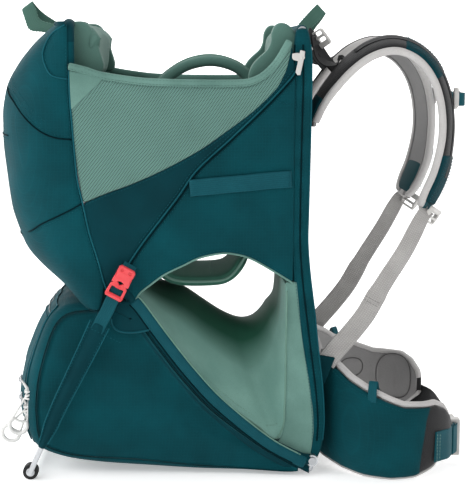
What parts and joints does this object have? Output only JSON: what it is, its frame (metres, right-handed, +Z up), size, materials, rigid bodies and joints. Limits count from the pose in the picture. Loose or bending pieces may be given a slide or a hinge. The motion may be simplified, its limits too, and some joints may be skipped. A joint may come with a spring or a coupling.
{
  "type": "baby carrier backpack",
  "caption": "Framed child carrier backpack with a padded cockpit, folding rear hoop and kickstand, zipped base bag, shoulder straps and hip belt.",
  "frame": {"origin": "on the floor, under the middle of the object's box", "axes": "+X is the wearer's forward direction, +Y is the wearer's left, +Z is up"},
  "size_m": [0.7209, 0.3806, 0.72],
  "materials": {
    "aluminium": "satin",
    "steel": "satin",
    "black_plastic": "matte",
    "black_mesh": "open mesh",
    "grey_padding": "knitted lining",
    "sage_fabric": "matte woven",
    "sage_webbing": "woven webbing",
    "grey_plastic": "satin",
    "teal_fabric": "ripstop nylon",
    "teal_webbing": "woven webbing",
    "black_webbing": "woven webbing",
    "grey_webbing": "woven webbing",
    "red_plastic": "satin",
    "zip_tape": "woven tape",
    "rubber": "matte",
    "zip_metal": "satin",
    "white_cord": "braided"
  },
  "bodies": {
    "frame": {"front_tube_left": "aluminium", "front_tube_right": "aluminium", "front_top_tube": "aluminium", "front_bottom_tube": "aluminium", "harness_rails": "black_plastic", "back_panel": "black_mesh", "lumbar_pad": "grey_padding", "front_pad": "sage_fabric", "front_liner": "sage_fabric", "handle_front": "sage_webbing", "top_brackets": "grey_plastic", "hoop_pins": "steel", "front_sleeves": "teal_fabric", "side_straps": "teal_webbing", "load_lifters": "black_webbing", "lifter_locks": "grey_plastic", "lower_webbing": "grey_webbing"},
    "rear_hoop": {"hoop_tube_left": "aluminium", "hoop_tube_right": "aluminium", "hoop_top_tube": "aluminium", "rear_panel": "teal_fabric", "headrest": "sage_fabric", "handle_rear": "sage_webbing", "cockpit_wall_left": "teal_fabric", "cockpit_wall_right": "teal_fabric", "base_bag": "teal_fabric", "leg_well": "sage_fabric", "diagonal_bands": "teal_webbing", "side_sockets": "red_plastic", "zip_track": "zip_tape", "kick_pins": "steel"},
    "bag_door": {"bag_door": "teal_fabric"},
    "kickstand": {"kick_rod_left": "steel", "kick_rod_right": "steel", "kick_crossbar": "steel", "kick_feet": "rubber", "kick_sleeves": "teal_fabric", "side_webbing": "teal_webbing"},
    "side_plug_left": {"side_plug_left": "red_plastic"},
    "side_plug_right": {"side_plug_right": "red_plastic"},
    "zip_upper": {"zip_slider_upper": "zip_metal", "zip_pull_upper": "white_cord"},
    "zip_lower": {"zip_slider_lower": "zip_metal", "zip_pull_lower": "white_cord"},
    "yoke": {"yoke_plate": "black_plastic", "shoulder_strap_left": "grey_padding", "shoulder_strap_right": "grey_padding", "ladder_locks": "grey_plastic"},
    "sternum": {"sternum_clips": "grey_plastic", "sternum_strap": "teal_webbing", "sternum_socket": "grey_plastic"},
    "sternum_plug": {"sternum_plug": "grey_plastic"},
    "belt_left": {"hip_wing_left": "grey_padding", "hip_webbing_left": "black_webbing"},
    "belt_right": {"hip_wing_right": "grey_padding", "hip_webbing_right": "teal_webbing", "hip_socket": "grey_plastic"},
    "hip_plug": {"hip_plug": "grey_plastic"},
    "child_seat": {"child_seat": "sage_fabric", "child_harness": "sage_fabric"}
  },
  "joints": [
    {"name": "hoop_fold", "type": "hinge", "parent": "frame", "child": "rear_hoop", "pos_m": [0.122, 0, 0.024], "axis": [0, 1, 0], "range_deg": [0, 18], "deforming": ["cockpit_wall_left", "cockpit_wall_right", "side_straps", "leg_well"]},
    {"name": "kickstand_fold", "type": "hinge", "parent": "rear_hoop", "child": "kickstand", "pos_m": [-0.17, 0, 0.292], "axis": [0, -1, 0], "range_deg": [0, 60], "deforming": ["base_bag", "side_webbing"]},
    {"name": "side_release_left", "type": "slide", "parent": "rear_hoop", "child": "side_plug_left", "axis": [-0.4772, 0, -0.8788], "range_m": [0, 0.025]},
    {"name": "side_release_right", "type": "slide", "parent": "rear_hoop", "child": "side_plug_right", "axis": [-0.4772, 0, -0.8788], "range_m": [0, 0.025]},
    {"name": "bag_door_open", "type": "hinge", "parent": "rear_hoop", "child": "bag_door", "pos_m": [-0.331, 0, 0.053], "axis": [0, -1, 0], "range_deg": [0, 70]},
    {"name": "zip_upper_slide", "type": "slide", "parent": "rear_hoop", "child": "zip_upper", "axis": [0, 0, 1], "range_m": [0, 0.04]},
    {"name": "zip_lower_slide", "type": "slide", "parent": "rear_hoop", "child": "zip_lower", "axis": [0, 0, 1], "range_m": [-0.012, 0.008]},
    {"name": "torso_adjust", "type": "slide", "parent": "frame", "child": "yoke", "axis": [0, 0, 1], "range_m": [-0.06, 0.04], "deforming": ["load_lifters", "lower_webbing"]},
    {"name": "sternum_slide", "type": "slide", "parent": "yoke", "child": "sternum", "axis": [0, 0, 1], "range_m": [-0.015, 0.015]},
    {"name": "sternum_release", "type": "slide", "parent": "sternum", "child": "sternum_plug", "axis": [0, 1, 0], "range_m": [0, 0.015], "deforming": ["sternum_strap"]},
    {"name": "belt_left_swing", "type": "hinge", "parent": "frame", "child": "belt_left", "pos_m": [0.146, 0.098, 0.1], "axis": [0, 0, 1], "range_deg": [0, 25]},
    {"name": "belt_right_swing", "type": "hinge", "parent": "frame", "child": "belt_right", "pos_m": [0.146, -0.098, 0.1], "axis": [0, 0, -1], "range_deg": [0, 25]},
    {"name": "hip_release", "type": "slide", "parent": "belt_left", "child": "hip_plug", "axis": [0, 1, 0], "range_m": [0, 0.02], "deforming": ["hip_webbing_left"]},
    {"name": "seat_height", "type": "slide", "parent": "frame", "child": "child_seat", "axis": [0, 0, 1], "range_m": [0, 0.04]}
  ]
}
